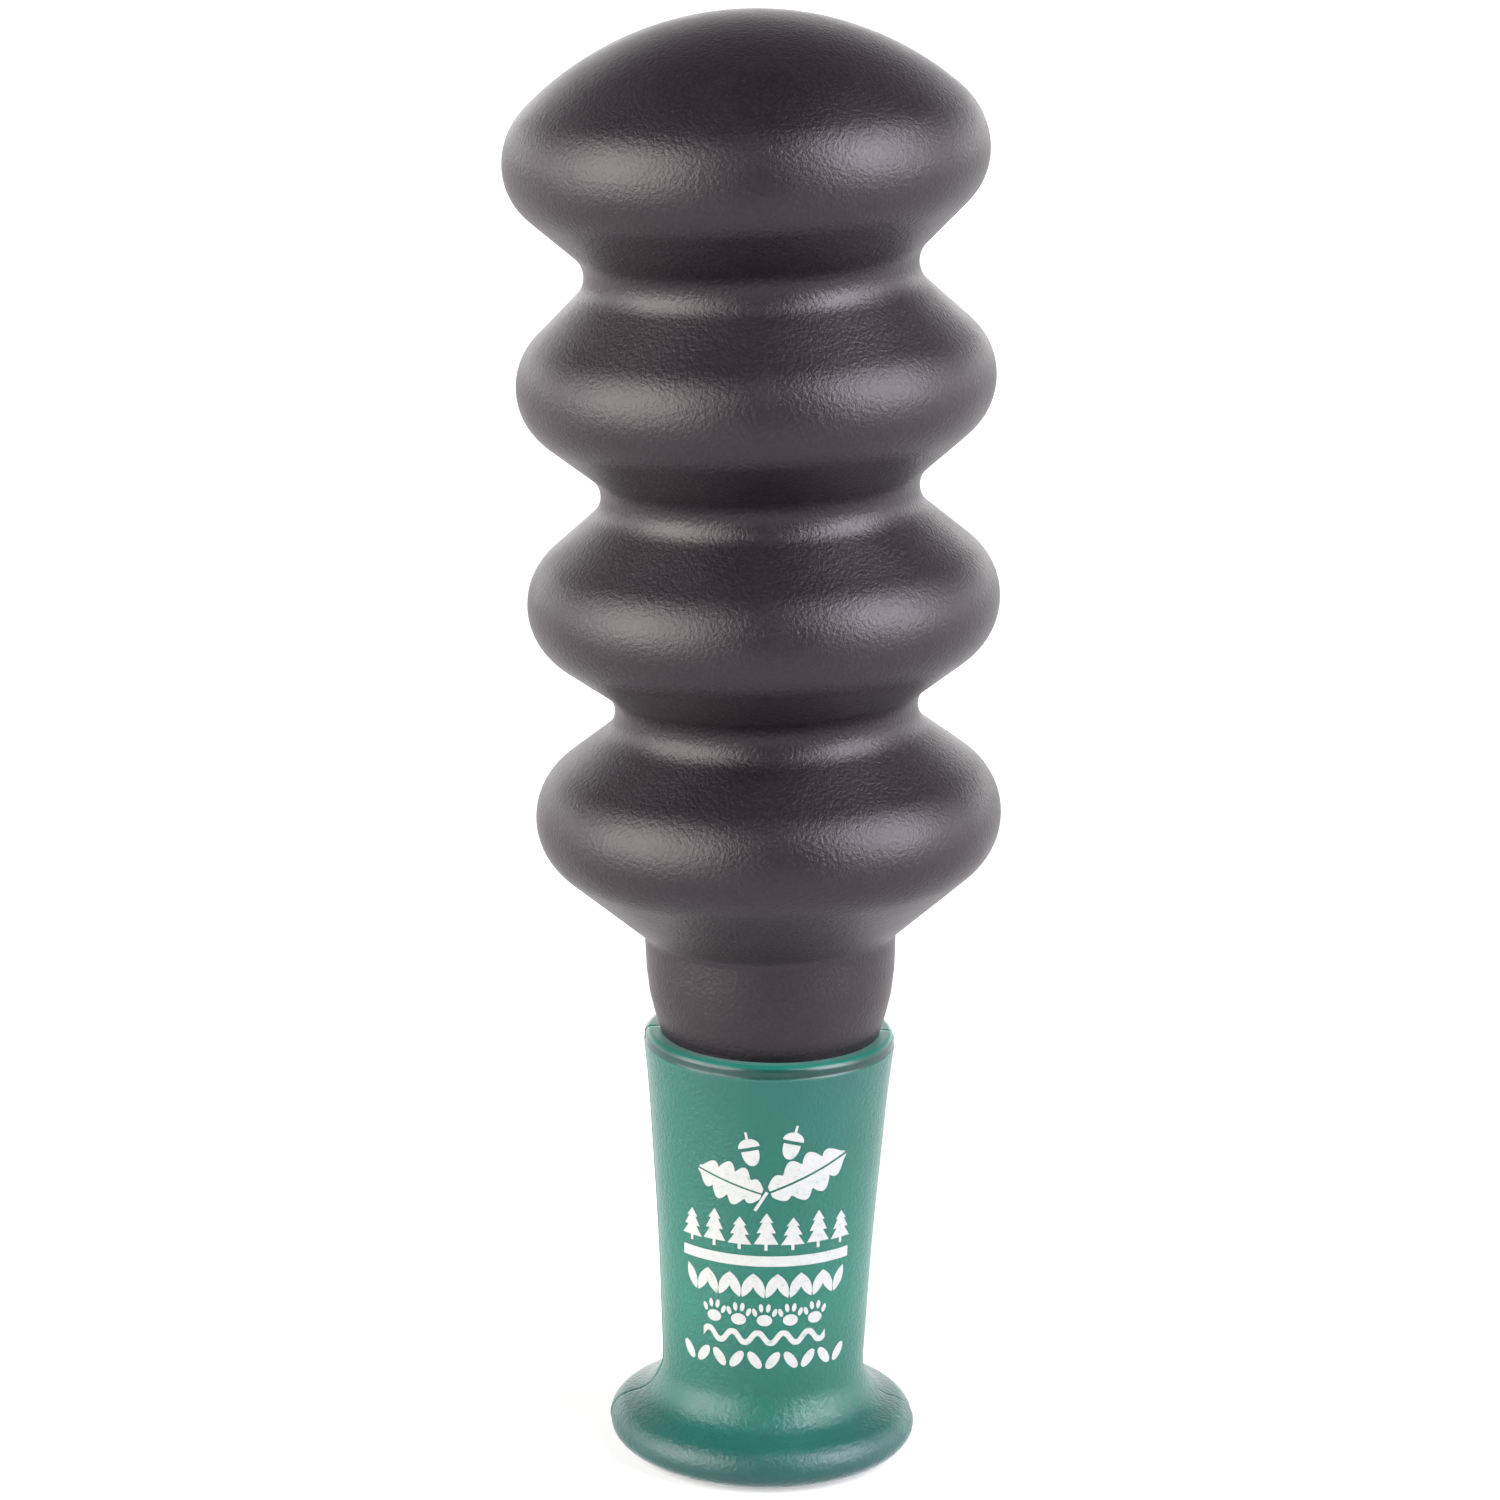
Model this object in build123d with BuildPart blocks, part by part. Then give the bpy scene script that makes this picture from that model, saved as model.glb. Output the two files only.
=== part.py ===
from build123d import *
from math import acos, atan2, degrees, hypot
import os

# Bellows call: a rubber bellows plugged into a two-part moulded barrel.
# Millimetres, +Z up, origin on the base plane at the barrel's axis.
# The barrel's two halves meet on the plane Y = 0; the front half is on -Y.

os.makedirs("parts", exist_ok=True)

# Barrel, outside
FLANGE_R = 14.5
FLANGE_EDGE_Z = 2.2
FLANGE_UNDER = 3.2
FLANGE_ROUND = 2.3
FLANGE_TURN = 65
WAIST_R = 9.55
WAIST_Z = 8.3
RIM_R = 11.8
RIM_Z = 41.4
RIM_ROUND = 0.8

# Barrel, inside
MOUTH_ROUND = 2.5
MOUTH_R = 7.6
LEDGE_Z = 15.0
INSERT_R = 7.95
CUFF_BASE_Z = 31.0
BEAD_R = 9.9
BEAD_TOP_Z = 34.8
GRIP_R = 9.2
GRIP_TOP_Z = 37.0
NECK_R = 10.3

# Seam between the halves: a tongue on the front half in a groove in the rear one
TONGUE_W = 0.5
TONGUE_H = 0.4
TONGUE_GAP = 0.05
TONGUE_LOW = (8.6, 9.0)
TONGUE_HIGH = (9.35, 29.0)

# Bellows: four lobes, each a rounded crest joined by straight flanks to rounded valleys
WALL = 1.8
CUFF_BORE_R = 7.2
NECK_BULGE_R = 11.75
NECK_TOP_Z = 50.0
LOBES = 4
PITCH = 20.4
FIRST_CREST_Z = 62.5
CREST_R = 21.6
CREST_GROWTH = 0.13
VALLEY_R = 14.0
VALLEY_GROWTH = 0.6
CREST_ROUND = 6.0
VALLEY_ROUND = 2.0
CORNER_ROUND = 0.8
TOP_Z = 136.6
SHOULDER_ROUND = 7.0

# Reed insert
HOLDER_R = 7.9
HOLDER_Z = 15.05
SPIGOT_R = 7.15
SPIGOT_TOP_Z = 40.4
SOCKET_R = 5.0
SOCKET_Z = 18.0
OUTLET_R = 3.2
RING_Z = 23.0
RING_GROOVE_R = 6.82
RING_WIRE_R = 0.56
BOARD_R = 4.95
BOARD_TOP_Z = 60.0
BOARD_FACE_Y = -0.4
LAY_START_Z = 40.0
LAY_DROP = 0.9
CHANNEL_R = 2.2
CHANNEL_TOP_Z = 55.0
REED_W = 8.0
REED_T = 0.25
REED_Z = 22.0
REED_TOP_Z = 59.5
WEDGE_Z = 20.0

# Driven values
crests = [(CREST_R + CREST_GROWTH * i, FIRST_CREST_Z + PITCH * i) for i in range(LOBES)]
valleys = [
    (VALLEY_R + VALLEY_GROWTH * i, FIRST_CREST_Z + PITCH * (i + 0.5))
    for i in range(LOBES - 1)
]
top_r, top_crest_z = crests[-1]
shoulder_x = top_r - SHOULDER_ROUND
crown_h = TOP_Z - top_crest_z
dome_r = (shoulder_x**2 + crown_h**2 - SHOULDER_ROUND**2) / (2 * (crown_h - SHOULDER_ROUND))
dome_z = TOP_Z - dome_r
dome_edge = degrees(atan2(top_crest_z - dome_z, shoulder_x))


def flank(crest, valley, valley_round):
    """Angle at which the straight flank leaves a crest's round towards a valley's."""
    across = valley[0] + valley_round - (crest[0] - CREST_ROUND)
    along = abs(valley[1] - crest[1])
    lean = acos((CREST_ROUND + valley_round) / hypot(across, along))
    return degrees(atan2(along, across) - lean)


corner = (NECK_BULGE_R, NECK_TOP_Z + CORNER_ROUND)
down = [flank(crests[0], corner, CORNER_ROUND)]
down += [flank(crests[i + 1], valleys[i], VALLEY_ROUND) for i in range(LOBES - 1)]
up = [flank(crests[i], valleys[i], VALLEY_ROUND) for i in range(LOBES - 1)]

# ---- Barrel: one turned profile, parted on Y = 0 ----
with BuildPart() as barrel:
    with BuildSketch(Plane.XZ) as barrel_profile:
        with BuildLine() as barrel_line:
            mouth = CenterArc((MOUTH_R + MOUTH_ROUND, MOUTH_ROUND), MOUTH_ROUND, 180, 90)
            under = EllipticalCenterArc(
                (FLANGE_R - FLANGE_UNDER, FLANGE_EDGE_Z),
                FLANGE_UNDER,
                FLANGE_EDGE_Z,
                start_angle=-90,
                arc_size=90,
            )
            Line(mouth @ 1, under @ 0)
            flange = CenterArc((FLANGE_R - FLANGE_ROUND, FLANGE_EDGE_Z), FLANGE_ROUND, 0, FLANGE_TURN)
            sweep_up = Spline(
                flange @ 1,
                (11.75, 4.8),
                (10.4, 5.95),
                (WAIST_R, WAIST_Z),
                tangents=(flange % 1, (0.02, 1)),
            )
            wall = ThreePointArc(sweep_up @ 1, (10.42, 25), (RIM_R, RIM_Z - RIM_ROUND))
            rim = CenterArc((RIM_R - RIM_ROUND, RIM_Z - RIM_ROUND), RIM_ROUND, 0, 90)
            Polyline(
                rim @ 1,
                (NECK_R, RIM_Z),
                (NECK_R, GRIP_TOP_Z),
                (GRIP_R, GRIP_TOP_Z),
                (GRIP_R, BEAD_TOP_Z),
                (BEAD_R, BEAD_TOP_Z),
                (BEAD_R, CUFF_BASE_Z),
                (INSERT_R, CUFF_BASE_Z),
                (INSERT_R, LEDGE_Z),
                (MOUTH_R, LEDGE_Z),
                mouth @ 0,
            )
        make_face()
    revolve(axis=Axis.Z)

with BuildPart() as barrel_front_half:
    add(barrel.part)
    split(bisect_by=Plane.XZ, keep=Keep.TOP)
    with BuildSketch(Plane.XZ) as tongue_shape:
        for side in (1, -1):
            with BuildLine() as tongue_line:
                Polyline(
                    (side * (TONGUE_LOW[0] - TONGUE_W / 2), TONGUE_LOW[1]),
                    (side * (TONGUE_LOW[0] + TONGUE_W / 2), TONGUE_LOW[1]),
                    (side * (TONGUE_HIGH[0] + TONGUE_W / 2), TONGUE_HIGH[1]),
                    (side * (TONGUE_HIGH[0] - TONGUE_W / 2), TONGUE_HIGH[1]),
                    close=True,
                )
            make_face()
    extrude(amount=-TONGUE_H)
barrel_front_half.part.label = "barrel_front_half"
export_step(barrel_front_half.part, "parts/barrel_front_half.step")

with BuildPart() as barrel_rear_half:
    add(barrel.part)
    split(bisect_by=Plane.XZ, keep=Keep.BOTTOM)
    with BuildSketch(Plane.XZ) as groove_shape:
        add(tongue_shape.sketch.faces())
        offset(amount=TONGUE_GAP, kind=Kind.INTERSECTION)
    extrude(amount=-(TONGUE_H + TONGUE_GAP), mode=Mode.SUBTRACT)
barrel_rear_half.part.label = "barrel_rear_half"
export_step(barrel_rear_half.part, "parts/barrel_rear_half.step")

# ---- Bellows: crown, folding wall and neck of one rubber moulding ----
with BuildPart() as bellows_crown:
    with BuildSketch(Plane.XZ) as crown_profile:
        with BuildLine() as crown_line:
            for skin in (0, WALL):
                CenterArc((0, dome_z), dome_r - skin, dome_edge, 90 - dome_edge)
                CenterArc((shoulder_x, top_crest_z), SHOULDER_ROUND - skin, 0, dome_edge)
            Line((0, TOP_Z), (0, TOP_Z - WALL))
            Line((top_r - WALL, top_crest_z), (top_r, top_crest_z))
        make_face()
    revolve(axis=Axis.Z)
bellows_crown.part.label = "bellows_crown"
export_step(bellows_crown.part, "parts/bellows_crown.step")

with BuildPart() as bellows_convolutions:
    with BuildSketch(Plane.XZ) as fold_profile:
        with BuildLine() as fold_line:
            for skin in (0, WALL):
                foot = CenterArc(
                    (corner[0] + CORNER_ROUND, corner[1]),
                    CORNER_ROUND + skin,
                    180,
                    -down[0],
                )
                Line((corner[0] - skin, NECK_TOP_Z), foot @ 0)
                last = foot @ 1
                for i in range(LOBES):
                    centre = (crests[i][0] - CREST_ROUND, crests[i][1])
                    rise = up[i] if i < LOBES - 1 else 0
                    crest = CenterArc(centre, CREST_ROUND - skin, -down[i], down[i] + rise)
                    Line(last, crest @ 0)
                    last = crest @ 1
                    if i < LOBES - 1:
                        fold = CenterArc(
                            (valleys[i][0] + VALLEY_ROUND, valleys[i][1]),
                            VALLEY_ROUND + skin,
                            180 + up[i],
                            -up[i] - down[i + 1],
                        )
                        Line(last, fold @ 0)
                        last = fold @ 1
            Line((corner[0] - WALL, NECK_TOP_Z), (corner[0], NECK_TOP_Z))
            Line((top_r - WALL, top_crest_z), (top_r, top_crest_z))
        make_face()
    revolve(axis=Axis.Z)
bellows_convolutions.part.label = "bellows_convolutions"
export_step(bellows_convolutions.part, "parts/bellows_convolutions.step")

with BuildPart() as bellows_neck:
    with BuildSketch(Plane.XZ) as neck_profile:
        with BuildLine() as neck_line:
            bulge = ThreePointArc((NECK_R, RIM_Z), (11.35, 45.3), (NECK_BULGE_R, NECK_TOP_Z))
            inside = ThreePointArc(
                (CUFF_BORE_R, RIM_Z),
                (9.1, 46.0),
                (NECK_BULGE_R - WALL, NECK_TOP_Z),
            )
            Line(bulge @ 1, inside @ 1)
            Polyline(
                inside @ 0,
                (CUFF_BORE_R, CUFF_BASE_Z),
                (BEAD_R, CUFF_BASE_Z),
                (BEAD_R, BEAD_TOP_Z),
                (GRIP_R, BEAD_TOP_Z),
                (GRIP_R, GRIP_TOP_Z),
                (NECK_R, GRIP_TOP_Z),
                bulge @ 0,
            )
        make_face()
    revolve(axis=Axis.Z)
bellows_neck.part.label = "bellows_neck"
export_step(bellows_neck.part, "parts/bellows_neck.step")

# ---- Reed insert: holder, O-ring, toneboard, reed and wedge ----
with BuildPart() as reed_holder:
    with BuildSketch(Plane.XZ) as holder_profile:
        with BuildLine() as holder_line:
            Polyline(
                (OUTLET_R, HOLDER_Z),
                (HOLDER_R - 0.6, HOLDER_Z),
                (HOLDER_R, HOLDER_Z + 0.6),
                (HOLDER_R, RING_Z - 0.75),
                (RING_GROOVE_R, RING_Z - 0.75),
                (RING_GROOVE_R, RING_Z + 0.75),
                (HOLDER_R, RING_Z + 0.75),
                (HOLDER_R, CUFF_BASE_Z - 0.05),
                (SPIGOT_R, CUFF_BASE_Z - 0.05),
                (SPIGOT_R, SPIGOT_TOP_Z - 0.8),
                (SPIGOT_R - 0.8, SPIGOT_TOP_Z),
                (SOCKET_R, SPIGOT_TOP_Z),
                (SOCKET_R, SOCKET_Z),
                (OUTLET_R, SOCKET_Z),
                close=True,
            )
        make_face()
    revolve(axis=Axis.Z)
reed_holder.part.label = "reed_holder"
export_step(reed_holder.part, "parts/reed_holder.step")

with BuildPart() as o_ring:
    with BuildSketch(Plane.XZ) as ring_section:
        with Locations(((RING_GROOVE_R + INSERT_R) / 2, RING_Z)):
            Circle(RING_WIRE_R)
    revolve(axis=Axis.Z)
o_ring.part.label = "o_ring"
export_step(o_ring.part, "parts/o_ring.step")

# The board fills the socket behind its flat face; the lay curves back towards the tip
with BuildPart() as toneboard:
    with BuildSketch(Plane.YZ) as board_section:
        with BuildLine() as board_line:
            lay = TangentArc(
                (BOARD_FACE_Y, LAY_START_Z),
                (BOARD_FACE_Y + LAY_DROP, BOARD_TOP_Z),
                tangent=(0, 1),
            )
            Polyline(
                lay @ 1,
                (2 * BOARD_R, BOARD_TOP_Z),
                (2 * BOARD_R, SOCKET_Z),
                (BOARD_FACE_Y, SOCKET_Z),
                lay @ 0,
            )
        make_face()
    extrude(amount=2 * BOARD_R, both=True)
    with BuildSketch(Plane.XY.offset(SOCKET_Z)) as board_round:
        Circle(BOARD_R)
    extrude(amount=BOARD_TOP_Z - SOCKET_Z, mode=Mode.INTERSECT)
    with BuildSketch(Plane.XY.offset(SOCKET_Z)) as channel_section:
        with Locations((0, BOARD_FACE_Y)):
            Circle(CHANNEL_R)
    extrude(amount=CHANNEL_TOP_Z - SOCKET_Z, mode=Mode.SUBTRACT)
toneboard.part.label = "toneboard"
export_step(toneboard.part, "parts/toneboard.step")

with BuildPart() as reed:
    with BuildSketch(Plane.XZ.offset(-BOARD_FACE_Y)) as reed_shape:
        with Locations((0, REED_Z)):
            Rectangle(REED_W, REED_TOP_Z - REED_Z, align=(Align.CENTER, Align.MIN))
        fillet(reed_shape.vertices().group_by(Axis.Z)[-1], radius=2)
    extrude(amount=REED_T)
reed.part.label = "reed"
export_step(reed.part, "parts/reed.step")

with BuildPart() as wedge:
    with BuildSketch(Plane.XY.offset(WEDGE_Z)) as wedge_section:
        Circle(BOARD_R)
        with Locations((0, BOARD_FACE_Y - REED_T)):
            Rectangle(3 * BOARD_R, 3 * BOARD_R, align=(Align.CENTER, Align.MIN), mode=Mode.SUBTRACT)
    extrude(amount=LAY_START_Z - WEDGE_Z)
wedge.part.label = "wedge"
export_step(wedge.part, "parts/wedge.step")
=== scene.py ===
import math

import bmesh
import bpy
import numpy as np
from mathutils import Matrix, Vector


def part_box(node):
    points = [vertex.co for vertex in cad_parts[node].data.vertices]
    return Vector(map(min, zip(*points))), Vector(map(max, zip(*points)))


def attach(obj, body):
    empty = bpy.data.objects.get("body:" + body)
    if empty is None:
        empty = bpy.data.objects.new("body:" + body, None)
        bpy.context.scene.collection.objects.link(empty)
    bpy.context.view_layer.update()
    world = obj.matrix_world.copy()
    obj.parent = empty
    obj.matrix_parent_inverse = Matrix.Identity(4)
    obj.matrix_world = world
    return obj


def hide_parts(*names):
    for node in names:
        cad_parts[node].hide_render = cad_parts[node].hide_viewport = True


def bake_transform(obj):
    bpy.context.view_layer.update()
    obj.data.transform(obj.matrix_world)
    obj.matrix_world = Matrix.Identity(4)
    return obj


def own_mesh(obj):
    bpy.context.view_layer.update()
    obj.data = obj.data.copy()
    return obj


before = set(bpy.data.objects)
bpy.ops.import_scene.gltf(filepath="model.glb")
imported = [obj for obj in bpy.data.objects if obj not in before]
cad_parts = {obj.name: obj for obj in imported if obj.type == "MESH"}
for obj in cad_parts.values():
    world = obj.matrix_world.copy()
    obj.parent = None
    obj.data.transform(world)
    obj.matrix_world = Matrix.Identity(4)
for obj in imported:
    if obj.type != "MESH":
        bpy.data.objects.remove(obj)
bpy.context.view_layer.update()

scene = bpy.context.scene
MM = 0.001

# ------------------------------------------------------------------ camera
LOOK_AT = Vector((-0.00116, 0.0, 0.06844))
CAMERA_DISTANCE = 0.4578
CAMERA_PITCH = math.radians(15)
CAMERA_ROLL = math.radians(1.1)

camera_data = bpy.data.cameras.new("camera")
camera_data.sensor_width = 36
camera_data.lens = 118.56
camera_data.shift_x = -0.00867
camera_data.clip_start = 0.01
camera_data.clip_end = 50
camera = bpy.data.objects.new("camera", camera_data)
scene.collection.objects.link(camera)
camera.matrix_world = (
    Matrix.Translation(
        LOOK_AT
        + CAMERA_DISTANCE * Vector((0, -math.cos(CAMERA_PITCH), math.sin(CAMERA_PITCH)))
    )
    @ Matrix.Rotation(math.pi / 2 - CAMERA_PITCH, 4, "X")
    @ Matrix.Rotation(CAMERA_ROLL, 4, "Z")
)
scene.camera = camera


# ------------------------------------------------------------------ materials
BAND_Z = 40.2  # mm, where the clear, slightly sunk band below the rim starts; the barrel's colour paints this band dark as shade


class Nodes:
    """A material's node tree with short ways to add and join nodes."""

    def __init__(self, name, tree=None):
        if tree is None:
            self.mat = bpy.data.materials.new(name)
            self.mat.use_nodes = True
            tree = self.mat.node_tree
        tree.nodes.clear()
        self.tree = tree

    def add(self, kind, **inputs):
        node = self.tree.nodes.new(kind)
        for key, value in inputs.items():
            self.put(node, key.replace("_", " "), value)
        return node

    def put(self, node, key, value):
        socket = node.inputs[int(key) if key.isdigit() else key]
        if isinstance(value, bpy.types.NodeSocket):
            self.tree.links.new(value, socket)
        else:
            socket.default_value = value

    def object_space(self):
        return self.add("ShaderNodeTexCoord").outputs["Object"]

    def noise(self, where, scale, detail=3.0, roughness=0.55):
        node = self.add("ShaderNodeTexNoise", Scale=scale, Detail=detail, Roughness=roughness)
        self.put(node, "Vector", where)
        return node.outputs[0]

    def ramp(self, fac, stops):
        node = self.add("ShaderNodeValToRGB", Fac=fac)
        elements = node.color_ramp.elements
        while len(elements) < len(stops):
            elements.new(0.5)
        for element, (position, colour) in zip(elements, stops):
            element.position = position
            element.color = (*colour, 1)
        return node.outputs["Color"]

    def spread(self, value, low, high, to_low, to_high):
        node = self.add("ShaderNodeMapRange", Value=value)
        for key, number in zip(("From Min", "From Max", "To Min", "To Max"), (low, high, to_low, to_high)):
            node.inputs[key].default_value = number
        return node.outputs["Result"]

    def mix(self, fac, a, b, blend="MIX"):
        node = self.tree.nodes.new("ShaderNodeMix")
        node.data_type = "RGBA"
        node.blend_type = blend
        for socket, value in ((node.inputs[0], fac), (node.inputs[6], a), (node.inputs[7], b)):
            if isinstance(value, bpy.types.NodeSocket):
                self.tree.links.new(value, socket)
            else:
                socket.default_value = value if socket == node.inputs[0] else (*value, 1)
        return node.outputs[2]

    def bump(self, height, strength, depth_mm, normal=None):
        node = self.add("ShaderNodeBump", Height=height, Strength=strength, Distance=depth_mm * MM)
        if normal is not None:
            self.put(node, "Normal", normal)
        return node.outputs["Normal"]

    def principled(self, **inputs):
        node = self.add("ShaderNodeBsdfPrincipled")
        for key, value in inputs.items():
            self.put(node, key.replace("_", " "), value)
        out = self.add("ShaderNodeOutputMaterial")
        self.tree.links.new(node.outputs[0], out.inputs["Surface"])
        return node


def rubber_material():
    n = Nodes("bellows_rubber")
    where = n.object_space()
    broad = n.noise(where, 55, 3)
    pebble = n.noise(where, 2700, 3, 0.6)
    grain = n.noise(where, 5200, 1, 0.5)
    tone = n.ramp(broad, [(0.3, (0.0034, 0.0012, 0.0030)), (0.7, (0.0048, 0.0020, 0.0040))])
    tone = n.mix(n.spread(pebble, 0.45, 0.8, 0.0, 0.5), tone, (0.016, 0.010, 0.013))
    rough = n.spread(n.noise(where, 140, 4), 0.3, 0.7, 0.37, 0.45)
    normal = n.bump(pebble, 0.85, 0.1)
    normal = n.bump(grain, 0.3, 0.03, normal)
    n.principled(
        Base_Color=tone,
        Roughness=rough,
        Normal=normal,
        IOR=1.43,
        Specular_Tint=(1.0, 0.93, 0.96, 1),
        Sheen_Weight=0.03,
        Sheen_Roughness=0.35,
        Sheen_Tint=(1.0, 0.97, 0.98, 1),
    )
    return n.mat


def barrel_material():
    """Frosted green plastic, darker at the flange: painted light where the hollow is, painted shade where
    the cuff sits inside, a painted dark band under the rim.
    """
    n = Nodes("barrel_green")
    where = n.object_space()
    height = n.add("ShaderNodeSeparateXYZ", Vector=where).outputs["Z"]
    broad = n.noise(where, 90, 3)
    frost = n.noise(where, 2300, 3, 0.65)
    scuff = n.noise(where, 420, 5, 0.7)
    # Colour by height: painted light through the wall over the hollow bore (lightest near 17 mm), and
    # painted shade towards the rim, where the cuff sits inside
    stops = [
        (0.0, (0.003, 0.054, 0.056)),
        (3.6, (0.003, 0.060, 0.055)),
        (7.0, (0.003, 0.100, 0.074)),
        (17.0, (0.005, 0.138, 0.098)),
        (29.0, (0.004, 0.112, 0.082)),
        (BAND_Z - 0.2, (0.004, 0.096, 0.078)),
        # A painted highlight line along the lower edge of the band
        (BAND_Z - 0.12, (0.02, 0.14, 0.12)),
        # Painted shade: the glossy band under the rim is coloured near black-green for the darkness seen
        # into the clear wall
        (BAND_Z, (0.0008, 0.026, 0.026)),
        (41.1, (0.0008, 0.026, 0.026)),
        (41.26, (0.003, 0.13, 0.096)),
    ]
    span = 41.4
    share = n.spread(height, 0, span * MM, 0, 1)
    tone = n.ramp(share, [(z / span, colour) for z, colour in stops])
    tone = n.mix(n.spread(broad, 0.3, 0.7, 0.0, 0.2), tone, (0.013, 0.145, 0.102))
    tone = n.mix(n.spread(scuff, 0.6, 0.8, 0.0, 0.25), tone, (0.05, 0.19, 0.155))
    frosted = n.spread(height, (BAND_Z - 0.06) * MM, BAND_Z * MM, 1, 0)
    grain = n.add("ShaderNodeMath", **{"0": frost, "1": frosted})
    grain.operation = "MULTIPLY"
    rough = n.spread(frosted, 0, 1, 0.28, 0.33)
    rough = n.add("ShaderNodeMath", **{"0": rough, "1": n.spread(scuff, 0.3, 0.75, 0.0, 0.10)}).outputs[0]
    n.principled(
        Base_Color=tone,
        Roughness=rough,
        Normal=n.bump(grain.outputs[0], 1.0, 0.12),
        IOR=1.42,
        Transmission_Weight=0.3,
        Sheen_Weight=0.6,
        Sheen_Roughness=0.25,
        Subsurface_Weight=0.5,
        Subsurface_Radius=(0.25, 1.0, 0.8),
        Subsurface_Scale=0.002,
    )
    return n.mat


def plain_material(name, dark, light, scale, rough, depth_mm=0.02, **extra):
    """A material with two tones mixed by a noise of that scale per metre, and a fine bump."""
    n = Nodes(name)
    where = n.object_space()
    tone = n.ramp(n.noise(where, scale, 4), [(0.3, dark), (0.7, light)])
    n.principled(
        Base_Color=tone,
        Roughness=n.spread(n.noise(where, scale * 2.3, 3), 0.3, 0.7, rough - 0.05, rough + 0.08),
        Normal=n.bump(n.noise(where, scale * 9, 2), 0.3, depth_mm),
        **extra,
    )
    return n.mat


def ink_material():
    n = Nodes("print_ink")
    where = n.object_space()
    wear = n.noise(where, 1500, 5, 0.7)
    tone = n.ramp(wear, [(0.30, (0.17, 0.25, 0.22)), (0.40, (0.29, 0.31, 0.30)), (0.7, (0.34, 0.34, 0.335))])
    n.principled(
        Base_Color=tone,
        Roughness=n.spread(wear, 0.3, 0.7, 0.6, 0.45),
        Normal=n.bump(wear, 0.3, 0.01),
    )
    return n.mat


RUBBER = rubber_material()
GREEN = barrel_material()
INK = ink_material()
HOLDER = plain_material("holder_black", (0.012, 0.012, 0.013), (0.02, 0.02, 0.021), 300, 0.45)
SEAL = plain_material("seal_rubber", (0.008, 0.008, 0.008), (0.014, 0.014, 0.014), 500, 0.4)
BOARD = plain_material("toneboard_white", (0.66, 0.65, 0.60), (0.74, 0.73, 0.69), 200, 0.3)
FILM = plain_material("reed_film", (0.80, 0.82, 0.83), (0.86, 0.88, 0.88), 150, 0.2, Transmission_Weight=0.6)
CORK = plain_material("cork", (0.30, 0.16, 0.07), (0.52, 0.33, 0.17), 900, 0.8, 0.15)


# ------------------------------------------------------------------ mesh helpers
def make_object(name, points, faces, material, body=None, stands_for=(), smooth=True):
    mesh = bpy.data.meshes.new(name)
    mesh.from_pydata([tuple(p) for p in points], [], faces)
    mesh.validate()
    mesh.materials.append(material)
    if smooth:
        mesh.polygons.foreach_set("use_smooth", [True] * len(mesh.polygons))
    obj = bpy.data.objects.new(name, mesh)
    scene.collection.objects.link(obj)
    if body:
        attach(obj, body)
    if stands_for:
        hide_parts(*stands_for)
    return obj


def sharpen(obj, degrees=35):
    """Edges sharper than that keep their crease under smooth shading."""
    bm = bmesh.new()
    bm.from_mesh(obj.data)
    limit = math.radians(degrees)
    for edge in bm.edges:
        edge.smooth = not (len(edge.link_faces) == 2 and edge.calc_face_angle() > limit)
    bm.to_mesh(obj.data)
    bm.free()


def arc(cx, cz, r, a0, a1, step=0.35):
    """Points (radius, height) on an arc, angles in degrees, spaced about step mm."""
    n = max(3, int(abs(math.radians(a1 - a0)) * r / step) + 2)
    a = np.radians(np.linspace(a0, a1, n))
    return np.c_[cx + r * np.cos(a), cz + r * np.sin(a)]


def resample(points, step):
    """The same line with points evenly spaced about step mm apart."""
    points = np.asarray(points, float)
    along = np.r_[0, np.cumsum(np.hypot(*np.diff(points, axis=0).T))]
    keep = np.r_[True, np.diff(along) > 1e-7]
    points, along = points[keep], along[keep]
    u = np.linspace(0, along[-1], max(2, int(along[-1] / step) + 1))
    return np.c_[np.interp(u, along, points[:, 0]), np.interp(u, along, points[:, 1])]


# ------------------------------------------------------------------ bellows
# Heights and radii in millimetres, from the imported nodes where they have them
crown_lo, crown_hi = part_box("bellows_crown")
neck_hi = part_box("bellows_neck")[1]
barrel_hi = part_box("barrel_front_half")[1]
RIM_Z = barrel_hi[2] / MM
TOP_Z = crown_hi[2] / MM
CUT_TOP = crown_lo[2] / MM
CUT_FOOT = neck_hi[2] / MM + 0.5
CREST_R = crown_hi[0] / MM
PITCH = 20.4
WALL = 1.8
LINE_STEP = 0.25
CUFF_BORE_R = 7.2
# The outside of the cuff fills the socket inside the barrel's rim, so both are drawn with these
CUFF_FOOT_Z, GROOVE_LOW_Z, GROOVE_HIGH_Z = 31.0, 34.8, 37.0
CUFF_R, GROOVE_R, COLLAR_R = 9.9, 9.2, 10.3
GROOVE_LINE = [
    (CUFF_R, GROOVE_LOW_Z),
    (GROOVE_R, GROOVE_LOW_Z),
    (GROOVE_R, GROOVE_HIGH_Z),
    (COLLAR_R, GROOVE_HIGH_Z),
]
CREST_ROUND, VALLEY_ROUND, CORNER_ROUND, SHOULDER_ROUND = 6.2, 2.7, 0.8, 7.0
CORNER = (neck_hi[0] / MM, neck_hi[2] / MM + CORNER_ROUND)
CREST_GROWTH = 0.13  # in radius from one lobe up to the next, as VALLEY_GROWTH is for the valleys
VALLEY_R, VALLEY_GROWTH = 14.0, 0.6
CRESTS = [(CREST_R - CREST_GROWTH * (3 - i), CUT_TOP - PITCH * (3 - i)) for i in range(4)]
VALLEYS = [(VALLEY_R + VALLEY_GROWTH * i, CRESTS[i][1] + PITCH / 2) for i in range(3)]


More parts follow.
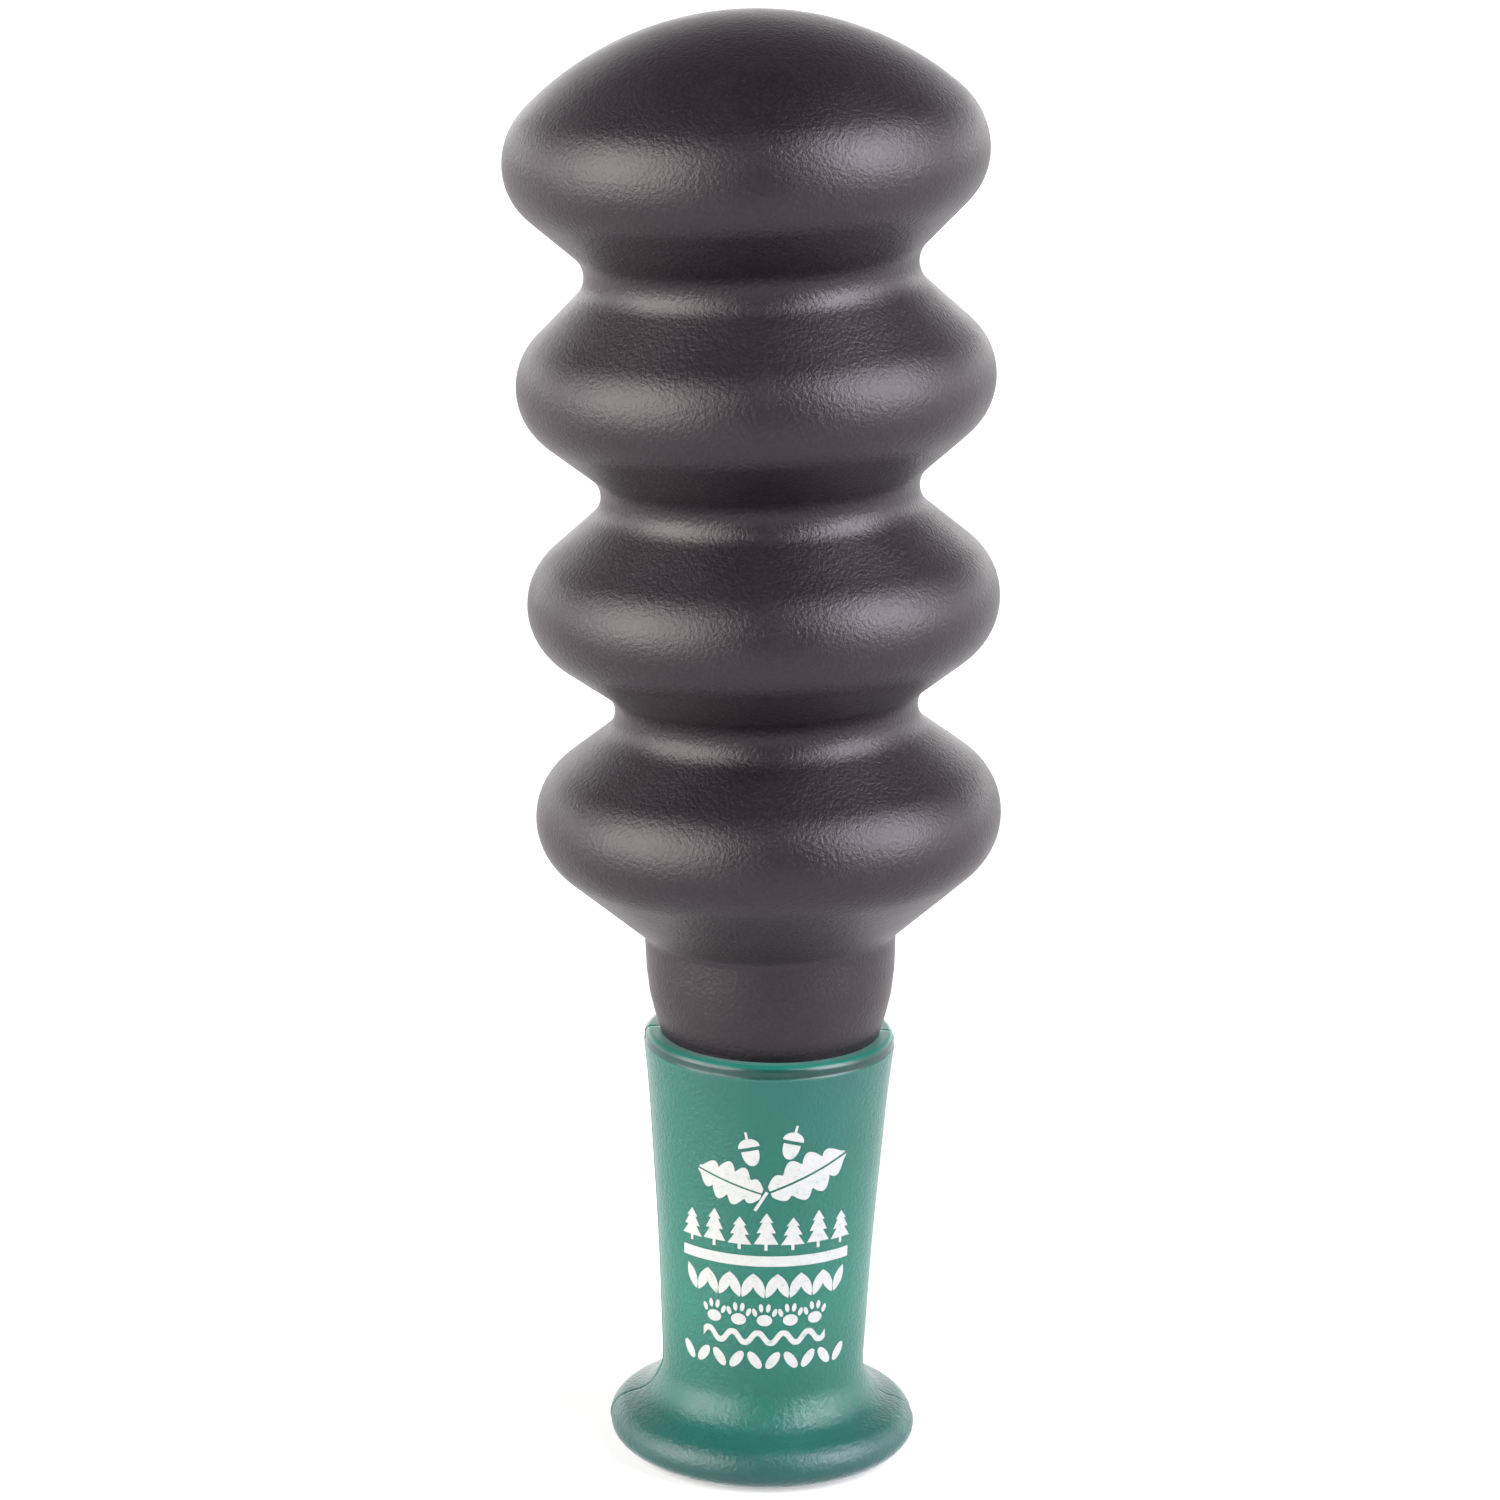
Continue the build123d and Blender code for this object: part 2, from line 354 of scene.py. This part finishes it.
def flank(crest, valley, valley_round):
    """Angle at which the flank leaves a crest's round towards a valley's."""
    across = valley[0] + valley_round - (crest[0] - CREST_ROUND)
    along = abs(valley[1] - crest[1])
    lean = math.acos((CREST_ROUND + valley_round) / math.hypot(across, along))
    return math.degrees(math.atan2(along, across) - lean)


def bellows_line(skin):
    """The bellows wall from the cuff's foot to the crown's top, skin mm inside the outside."""
    if skin:
        line = [np.array([(CUFF_BORE_R, CUFF_FOOT_Z), (CUFF_BORE_R, RIM_Z)]), np.array([(9.1, 46.0)])]
    else:
        line = [
            np.array([(CUFF_R, CUFF_FOOT_Z), *GROOVE_LINE, (COLLAR_R, RIM_Z)]),
            np.array([(10.85, 43.2), (11.35, 45.3), (11.62, 47.6)]),
        ]
    down = [flank(CRESTS[0], CORNER, CORNER_ROUND)]
    down += [flank(CRESTS[i + 1], VALLEYS[i], VALLEY_ROUND) for i in range(3)]
    up = [flank(CRESTS[i], VALLEYS[i], VALLEY_ROUND) for i in range(3)] + [0]
    line.append(arc(CORNER[0] + CORNER_ROUND, CORNER[1], CORNER_ROUND + skin, 180, 180 - down[0]))
    for i, (r, z) in enumerate(CRESTS):
        line.append(arc(r - CREST_ROUND, z, CREST_ROUND - skin, -down[i], up[i]))
        if i < 3:
            centre = VALLEYS[i][0] + VALLEY_ROUND
            line.append(
                arc(centre, VALLEYS[i][1], VALLEY_ROUND + skin, 180 + up[i], 180 - down[i + 1])
            )
    inset = CREST_R - SHOULDER_ROUND
    rise = TOP_Z - CUT_TOP
    dome_r = (inset**2 + rise**2 - SHOULDER_ROUND**2) / (2 * (rise - SHOULDER_ROUND))
    edge = math.degrees(math.atan2(dome_r - rise, inset))
    line.append(arc(inset, CUT_TOP, SHOULDER_ROUND - skin, 0, edge))
    line.append(arc(0, TOP_Z - dome_r, dome_r - skin, edge, 90))
    return resample(np.vstack(line), LINE_STEP)


# The moulding has taken a set: above the rim it leans towards -X, a little more with height
KNEE_Z = 50
LEAN_AT_KNEE = math.radians(1.67)
LEAN_PER_MM = math.radians(2.35) / 78
lean_z = np.linspace(RIM_Z, TOP_Z + 5, 800)
lean_angle = np.where(
    lean_z < KNEE_Z,
    LEAN_AT_KNEE * np.clip((lean_z - RIM_Z) / (KNEE_Z - RIM_Z), 0, 1),
    LEAN_AT_KNEE + LEAN_PER_MM * (lean_z - KNEE_Z),
)
lean_x = -np.r_[0, np.cumsum(np.tan(lean_angle[1:]) * np.diff(lean_z))]


def bent(r, z, phi):
    """Points of the bent bellows, in mm, for a radius and height at the angle phi."""
    tilt = np.interp(z, lean_z, lean_angle)
    across = r * np.cos(phi)
    return np.stack(
        [
            np.interp(z, lean_z, lean_x) + across * np.cos(tilt),
            r * np.sin(phi) + 0 * z,
            z + across * np.sin(tilt),
        ],
        -1,
    )


def crossing(line, z_cut, phi):
    """Where along the line, in points, the bent wall passes the plane z = z_cut, for each phi."""
    start = int(np.argmin(np.abs(line[:, 1] - z_cut) + 0.2 * (line[:, 1] < 45)))
    index = np.arange(max(0, start - 12), min(len(line), start + 13))
    out = []
    for a in phi:
        z = bent(line[index, 0], line[index, 1], a)[:, 2]
        out.append(np.interp(z_cut, z, index))
    return np.array(out)


COLUMNS = 168
turn = np.linspace(0, 2 * math.pi, COLUMNS, endpoint=False)


def wall_grid(line, low, high, step):
    """Rows of points from the plane low to the plane high; None means the line's own end."""
    first = np.zeros(COLUMNS) if low is None else crossing(line, low, turn)
    last = np.full(COLUMNS, len(line) - 1.0) if high is None else crossing(line, high, turn)
    rows = int((last - first).mean() * LINE_STEP / step) + 1
    index = np.arange(len(line))
    grid = []
    for share in np.linspace(0, 1, rows + 1):
        at = first + (last - first) * share
        grid.append(bent(np.interp(at, index, line[:, 0]), np.interp(at, index, line[:, 1]), turn))
    return np.array(grid)


def shell(name, low, high, body, nodes, step=0.45):
    """A closed piece of the bellows wall between two horizontal planes."""
    outer = wall_grid(bellows_line(0), low, high, step)
    inner = wall_grid(bellows_line(WALL), low, high, step * 2)
    points, faces, normals = [], [], []

    def surface(grid, outward):
        base, rows = len(points), len(grid)
        pole = high is None
        count = rows - 1 if pole else rows
        for row in grid[:count]:
            points.extend(row)
        du = np.gradient(grid, axis=0)
        dv = (np.roll(grid, -1, axis=1) - np.roll(grid, 1, axis=1)) / 2
        nrm = np.cross(dv, du) * (1 if outward else -1)
        nrm /= np.maximum(np.linalg.norm(nrm, axis=-1, keepdims=True), 1e-9)
        up = (0, 0, 1.0 if outward else -1.0)
        ring = [[base + k * COLUMNS + j for j in range(COLUMNS)] for k in range(count)]
        for k in range(count - 1):
            for j in range(COLUMNS):
                j2 = (j + 1) % COLUMNS
                quad = [ring[k][j], ring[k][j2], ring[k + 1][j2], ring[k + 1][j]]
                mine = [nrm[k, j], nrm[k, j2], nrm[k + 1, j2], nrm[k + 1, j]]
                faces.append(quad if outward else quad[::-1])
                normals.extend(mine if outward else mine[::-1])
        if pole:
            points.append(grid[-1].mean(0))
            tip = len(points) - 1
            for j in range(COLUMNS):
                j2 = (j + 1) % COLUMNS
                fan = [ring[-1][j], ring[-1][j2], tip]
                mine = [nrm[count - 1, j], nrm[count - 1, j2], up]
                faces.append(fan if outward else fan[::-1])
                normals.extend(mine if outward else mine[::-1])
        return ring

    outside = surface(outer, True)
    inside = surface(inner, False)

    def cap(a, b, way):
        for j in range(COLUMNS):
            j2 = (j + 1) % COLUMNS
            quad = [a[j], b[j], b[j2], a[j2]]
            faces.append(quad if way < 0 else quad[::-1])
            normals.extend([(0, 0, way)] * 4)

    cap(outside[0], inside[0], -1)
    if high is not None:
        cap(outside[-1], inside[-1], 1)
    obj = make_object(name, np.array(points) * MM, faces, RUBBER)
    obj.data.normals_split_custom_set([tuple(v) for v in normals])
    if body:
        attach(obj, body)
    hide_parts(*nodes)
    return obj


shell("bellows_crown_skin", CUT_TOP, None, "crown", ["bellows_crown"])
folds = shell("bellows_folds_skin", CUT_FOOT, CUT_TOP, "bellows", ["bellows_convolutions"])
neck = shell("bellows_neck_skin", None, CUT_FOOT, None, ["bellows_neck"])
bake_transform(neck)
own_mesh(folds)

# ------------------------------------------------------------------ barrel halves
FLANGE_R = barrel_hi[0] / MM
FLANGE_EDGE_Z, FLANGE_UNDER, FLANGE_ROUND = 2.2, 3.2, 2.3
FLARE = [(13.17, 4.28), (12.5, 4.54), (11.75, 4.8), (11.05, 5.22), (10.4, 5.95), (9.85, 7.0), (9.55, 8.3)]
WAIST = [(9.71, 12.2), (10.0, 18.3), (10.36, 24), (10.78, 29.5), (11.2, 35), (11.62, 39), (11.75, BAND_Z)]
SEAM_GAP = 0.012  # from each half to the plane Y = 0
BAND_R = 11.7
RIM_ROUND = 0.6
MOUTH_R, MOUTH_ROUND = 7.6, 2.5
BORE_R, STOP_Z = 7.95, 15.0  # the insert's bore, and the ledge it stands on


def smooth_line(points, step):
    """A smooth line through the points: a Catmull-Rom curve, evenly resampled."""
    p = np.vstack([2 * points[0] - points[1], points, 2 * points[-1] - points[-2]])
    t = np.linspace(0, 1, 12, endpoint=False)[:, None]
    out = []
    for a, b, c, d in zip(p[:-3], p[1:-2], p[2:-1], p[3:]):
        out.append(
            0.5 * (2 * b + (c - a) * t + (2 * a - 5 * b + 4 * c - d) * t**2 + (3 * b - a - 3 * c + d) * t**3)
        )
    return resample(np.vstack(out + [points[-1:]]), step)


def outer_wall(z):
    """Outside radius of the barrel wall at the height z over the base, in mm. Not for the flange."""
    return np.interp(z, *barrel_wall_line.T[::-1])


under = np.radians(np.linspace(-90, 0, 20))
flange_under = np.c_[
    FLANGE_R - FLANGE_UNDER + FLANGE_UNDER * np.cos(under),
    FLANGE_EDGE_Z + FLANGE_EDGE_Z * np.sin(under),
]
barrel_wall_line = smooth_line(np.array(FLARE + WAIST), 0.4)
outside_line = np.vstack(
    [
        flange_under,
        arc(FLANGE_R - FLANGE_ROUND, FLANGE_EDGE_Z, FLANGE_ROUND, 4, 62, 0.25),
        barrel_wall_line,
        [(11.69, BAND_Z + 0.06), (11.66, BAND_Z + 0.16)],
        arc(BAND_R - RIM_ROUND, RIM_Z - RIM_ROUND, RIM_ROUND, 0, 90, 0.12),
    ]
)
inside_line = np.vstack(
    [
        [(COLLAR_R, RIM_Z)],
        GROOVE_LINE[::-1],
        [(CUFF_R, CUFF_FOOT_Z), (BORE_R, CUFF_FOOT_Z), (BORE_R, STOP_Z), (MOUTH_R, STOP_Z)],
        arc(MOUTH_R + MOUTH_ROUND, MOUTH_ROUND, MOUTH_ROUND, 180, 270, 0.3),
    ]
)
MEAN_R = 10.5  # of the barrel's outside, to turn a distance along the wall into an angle
# The rounded edge along the seam: how far from the seam, and how far in from the wall there
EDGE_AWAY = (0.0, 0.03, 0.08, 0.16)
EDGE_INSET = (0.14, 0.07, 0.025, 0.0)


def barrel_half(name, side, node, shift):
    """side -1 is the half on -Y. Its outer edges along the seam are slightly rounded."""
    section = np.vstack([outside_line, inside_line])
    n_out = len(outside_line)
    tangent = np.gradient(section[:n_out], axis=0)
    tangent /= np.linalg.norm(tangent, axis=1, keepdims=True)
    inward = np.c_[-tangent[:, 1], tangent[:, 0]]
    seam_angle = np.array(EDGE_AWAY) / MEAN_R
    middle = np.linspace(seam_angle[-1] + 0.02, math.pi - seam_angle[-1] - 0.02, 96)
    angles = np.r_[seam_angle, middle, math.pi - seam_angle[::-1]]
    insets = np.r_[EDGE_INSET, np.zeros(len(middle)), EDGE_INSET[::-1]]
    points, faces = [], []
    count = len(section)
    for angle, inset in zip(angles, insets):
        ring = section.copy()
        ring[:n_out] += inward * inset
        y = ring[:, 0] * math.sin(angle) + SEAM_GAP
        points.extend(np.c_[ring[:, 0] * math.cos(angle) + shift, side * y, ring[:, 1]])
    for k in range(len(angles) - 1):
        for i in range(count):
            i2 = (i + 1) % count
            quad = [k * count + i, k * count + i2, (k + 1) * count + i2, (k + 1) * count + i]
            faces.append(quad if side < 0 else quad[::-1])
    first = list(range(count))
    last = [(len(angles) - 1) * count + i for i in range(count)]
    faces.append(first[::-1] if side < 0 else first)
    faces.append(last if side < 0 else last[::-1])
    obj = make_object(name, np.array(points) * MM, faces, GREEN, "barrel", [node])
    bm = bmesh.new()
    bm.from_mesh(obj.data)
    bmesh.ops.recalc_face_normals(bm, faces=bm.faces)
    bm.to_mesh(obj.data)
    bm.free()
    sharpen(obj, 40)
    return obj


barrel_half("barrel_front_skin", -1, "barrel_front_half", 0.0)
barrel_half("barrel_rear_skin", 1, "barrel_rear_half", -0.1)

# ------------------------------------------------------------------ print on the front half
# A generic design in flat millimetres: across the wall, and height above the base
def turned(points, u, z, degrees, size=1.0):
    c, s = math.cos(math.radians(degrees)) * size, math.sin(math.radians(degrees)) * size
    return [(u + a * c - b * s, z + a * s + b * c) for a, b in points]


def box_shape(u, z, width, height):
    return [(u + a * width / 2, z + b * height) for a, b in ((-1, 0), (1, 0), (1, 1), (-1, 1))]


def ellipse(u, z, width, height, start=0, stop=360, count=22):
    a = np.radians(np.linspace(start, stop, count, endpoint=stop - start < 360))
    return list(zip(u + width / 2 * np.cos(a), z + height / 2 + height / 2 * np.sin(a)))


def leaf(length, width):
    """A plain pointed leaf standing on the origin."""
    t = np.linspace(0, 1, 12)
    side = width / 2 * np.sin(math.pi * t) ** 0.8
    return list(zip(side, length * t)) + list(zip(-side[-2:0:-1], length * t[-2:0:-1]))


def conifer(u, z, width, height):
    """Half outline mirrored: three tiers of boughs on a trunk."""
    trunk = [(0.13, 0), (0.13, 0.16)]
    half = trunk + [(1, 0.16), (0.42, 0.46), (0.78, 0.46), (0.32, 0.74), (0.55, 0.74), (0, 1)]
    right = [(u + a * width / 2, z + b * height) for a, b in half]
    return right + [(2 * u - a, b) for a, b in right[-2::-1]]


def oak_leaf_halves(length, width):
    """Both sides of a lobed leaf along +u, with a gap for the midrib."""
    sides = []
    for side in (1, -1):
        edge = []
        for t in np.linspace(0, 1, 46):
            body = math.sin(math.pi * min(1.0, t * 0.94 + 0.05)) ** 0.7
            lobes = 0.52 + 0.48 * abs(math.sin(4 * math.pi * t + 0.5)) ** 0.8
            edge.append((length * t, side * (0.11 + width / 2 * body * lobes)))
        sides.append([(0, side * 0.11)] + edge + [(length, side * 0.11)])
    return sides


def paw(u, z):
    """A rounded pad under four toes."""
    toes = [(-0.8, 0.95, 20), (-0.28, 1.4, 8), (0.28, 1.4, -8), (0.8, 0.95, -20)]
    toe = ellipse(0, 0, 0.42, 0.85)
    return [ellipse(u, z, 1.45, 1.15)] + [turned(toe, u + a, z + b, lean) for a, b, lean in toes]


def wave(u, z, length, height, count, thick):
    """A wavy line of that many swings, as a row of joined pieces."""
    t = np.linspace(0, 1, 16 * count + 1)
    slope = 2 * math.pi * count * (height - thick) / 2 / length * np.cos(2 * math.pi * count * t)
    half = thick / 2 * np.hypot(1, slope)
    middle = z + height / 2 + (height - thick) / 2 * np.sin(2 * math.pi * count * t)
    across = u + length * (t - 0.5)
    low, high = list(zip(across, middle - half)), list(zip(across, middle + half))
    return [[low[k], low[k + 1], high[k + 1], high[k]] for k in range(len(t) - 1)]


def shapes():
    """All outlines of the print: oak leaves, acorns, a stem, conifers, a bar, leaf pairs, paws,
    a wave and seeds, from the top down."""
    out = [turned(half, 0.3, 28.9, 23, 1.0) for half in oak_leaf_halves(8.2, 4.3)]
    out += [turned(half, -0.5, 28.7, 163, 0.8) for half in oak_leaf_halves(8.2, 5.0)]
    nut = ellipse(0, 0, 2.5, 4.0, 180, 360) + [(1.25, 2.3), (-1.25, 2.3)]
    cap = ellipse(0, 1.55, 3.1, 2.6, 0, 180)
    stalk = box_shape(0, 4.1, 0.35, 1.1)
    for u, z, lean in ((-1.3, 31.5, 14), (1.9, 32.2, -14)):
        out += [turned(shape, u, z, lean, 0.66) for shape in (nut, cap, stalk)]
    out += [turned(box_shape(0, 0, 0.3, 2.2), -1.1, 27.0, -30)]
    out += [conifer(-7.55 + 2.52 * i, 23.0, 2.3, 3.3 + 0.5 * (i % 2)) for i in range(7)]
    out += [box_shape(0, 21.35, 17.2, 1.05)]
    for i in range(7):
        out += [turned(leaf(2.7, 1.0), -6.8 + 2.27 * i + side * 0.1, 18.15, -24 * side) for side in (-1, 1)]
    for i in range(5):
        out += paw(-4.9 + 2.45 * i, 15.3)
    out += wave(0, 13.3, 12.1, 1.55, 5, 0.55)
    out += [turned(ellipse(0, -1.0, 0.95, 2.0), -7.7 + 1.71 * i, 11.8, 35 - 70 * (i % 2)) for i in range(10)]
    return out


INK_UNDER, INK_OVER = -0.01, 0.03
SLICE_WIDTH, SLICE_HEIGHT = 0.45, 2.0  # the flat design is cut up so that it can bend


def print_piece():
    bm = bmesh.new()
    for outline in shapes():
        bm.faces.new([bm.verts.new((u, z, 0)) for u, z in outline])
    bmesh.ops.remove_doubles(bm, verts=bm.verts, dist=1e-5)
    bmesh.ops.triangulate(bm, faces=bm.faces)
    for cut in np.arange(-9, 9, SLICE_WIDTH):
        everything = bm.verts[:] + bm.edges[:] + bm.faces[:]
        bmesh.ops.bisect_plane(bm, geom=everything, plane_co=(cut, 0, 0), plane_no=(1, 0, 0), dist=1e-5)
    for cut in np.arange(10, 38, SLICE_HEIGHT):
        everything = bm.verts[:] + bm.edges[:] + bm.faces[:]
        bmesh.ops.bisect_plane(bm, geom=everything, plane_co=(0, cut, 0), plane_no=(0, 1, 0), dist=1e-5)
    raised = bmesh.ops.extrude_face_region(bm, geom=bm.faces[:], use_keep_orig=True)
    for item in raised["geom"]:
        if isinstance(item, bmesh.types.BMVert):
            item.co.z = 1
    for vert in bm.verts:
        u, z, top = vert.co
        wall = float(outer_wall(z))
        angle = u / wall
        radius = wall + (INK_OVER if top > 0.5 else INK_UNDER)
        vert.co = (radius * math.sin(angle) * MM, -radius * math.cos(angle) * MM, z * MM)
    bmesh.ops.recalc_face_normals(bm, faces=bm.faces)
    mesh = bpy.data.meshes.new("front_print")
    bm.to_mesh(mesh)
    bm.free()
    mesh.materials.append(INK)
    obj = bpy.data.objects.new("front_print", mesh)
    scene.collection.objects.link(obj)
    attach(obj, "barrel")


print_piece()

# ------------------------------------------------------------------ inner parts
for node, material, slot in (
    ("reed_holder", HOLDER, "holder_black"),
    ("o_ring", SEAL, "seal_rubber"),
    ("toneboard", BOARD, "toneboard_white"),
    ("wedge", CORK, "cork"),
):
    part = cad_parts[node]
    part.data.materials.clear()
    part.data.materials.append(material)

# The reed is a film strip: the wedge holds its foot still, and its rows run on along the free length to a
# rounded tip
reed_lo, reed_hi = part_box("reed")
reed_foot, reed_tip = reed_lo[2] / MM, reed_hi[2] / MM
REED_CORNER = 2.0
grip_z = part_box("wedge")[1][2] / MM
reed_rows = np.r_[
    np.linspace(reed_foot, grip_z, 8),
    np.linspace(grip_z, reed_tip - REED_CORNER, 24)[1:],
    reed_tip - REED_CORNER + REED_CORNER * np.sin(np.radians(np.linspace(15, 90, 6))),
]
reed_points, reed_faces = [], []
for z in reed_rows:
    rounded = max(0.0, z - (reed_tip - REED_CORNER))
    half = reed_hi[0] / MM - REED_CORNER + math.sqrt(max(0.0, REED_CORNER**2 - rounded**2))
    for x, y in ((-half, reed_lo[1]), (half, reed_lo[1]), (half, reed_hi[1]), (-half, reed_hi[1])):
        reed_points.append((x * MM, y, z * MM))
for k in range(len(reed_rows) - 1):
    for j in range(4):
        j2 = (j + 1) % 4
        reed_faces.append((4 * k + j, 4 * k + j2, 4 * k + 4 + j2, 4 * k + 4 + j))
last_ring = 4 * (len(reed_rows) - 1)
reed_faces += [(3, 2, 1, 0), (last_ring, last_ring + 1, last_ring + 2, last_ring + 3)]
reed_strip = make_object(
    "reed_strip", reed_points, reed_faces, FILM, stands_for=["reed"], smooth=False
)
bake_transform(reed_strip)

# ------------------------------------------------------------------ floor and light
floor_mesh = bpy.data.meshes.new("floor")
floor_mesh.from_pydata([(-6, -6, 0), (6, -6, 0), (6, 6, 0), (-6, 6, 0)], [], [(0, 1, 2, 3)])
floor = bpy.data.objects.new("floor", floor_mesh)
floor.location.z = -0.05 * MM
scene.collection.objects.link(floor)
floor_nodes = Nodes("floor_pale_glowing")
floor_patches = floor_nodes.noise(floor_nodes.object_space(), 3, 3)
floor_tone = floor_nodes.ramp(floor_patches, [(0.3, (0.46, 0.46, 0.46)), (0.7, (0.48, 0.48, 0.48))])
floor_depth = floor_nodes.add("ShaderNodeSeparateXYZ", Vector=floor_nodes.object_space()).outputs["Y"]
# The floor glows: painted light, its emission rising from 0.32 at the front to 1.0 at the back, filling in
# the object's shadow on it
floor_nodes.principled(
    Base_Color=floor_tone,
    Roughness=0.7,
    Specular_IOR_Level=0.2,
    Emission_Color=(1, 1, 1, 1),
    Emission_Strength=floor_nodes.spread(floor_depth, -0.15, 0.9, 0.32, 1.0),
)
floor_mesh.materials.append(floor_nodes.mat)


def softbox(name, azimuth, elevation, distance, width, height, power, colour):
    """A rectangular light aimed at the call's middle. Azimuth 0 is at -Y and grows towards +X."""
    a, e = math.radians(azimuth), math.radians(elevation)
    aim = Vector((0, 0, 0.075))
    place = aim + distance * Vector((math.sin(a) * math.cos(e), -math.cos(a) * math.cos(e), math.sin(e)))
    data = bpy.data.lights.new(name, "AREA")
    data.shape = "RECTANGLE"
    data.size, data.size_y = width, height
    data.energy = power
    data.color = colour
    light = bpy.data.objects.new(name, data)
    light.matrix_world = (
        Matrix.Translation(place) @ (place - aim).to_track_quat("Z", "Y").to_matrix().to_4x4()
    )
    scene.collection.objects.link(light)


softbox("light_right", 64, 30, 0.8, 0.56, 0.75, 20, (0.95, 0.93, 1.0))
softbox("light_left", -61, 19, 0.8, 0.90, 0.80, 22.5, (1.0, 0.955, 0.92))

world = bpy.data.worlds.new("studio")
scene.world = world
world.use_nodes = True
sky = Nodes("studio", world.node_tree)
split = sky.add("ShaderNodeSeparateXYZ", Vector=sky.add("ShaderNodeTexCoord").outputs["Generated"])
behind = sky.spread(split.outputs["Y"], -0.75, 0.3, 0.11, 4.2)
SKY_BY_HEIGHT = ((0.0, 1), (0.14, 0.8), (0.30, 0.24), (0.5, 0.06), (1, 0.02))
upward = sky.ramp(split.outputs["Z"], [(rise, (grey, grey, grey)) for rise, grey in SKY_BY_HEIGHT])
level = sky.add("ShaderNodeMath")
level.operation = "MULTIPLY"
sky.put(level, "0", behind)
sky.put(level, "1", upward)
background = sky.add("ShaderNodeBackground", Color=(1.0, 1.0, 1.0, 1), Strength=level.outputs[0])
sky.tree.links.new(background.outputs[0], sky.add("ShaderNodeOutputWorld").inputs["Surface"])
scene.view_settings.view_transform = "Standard"
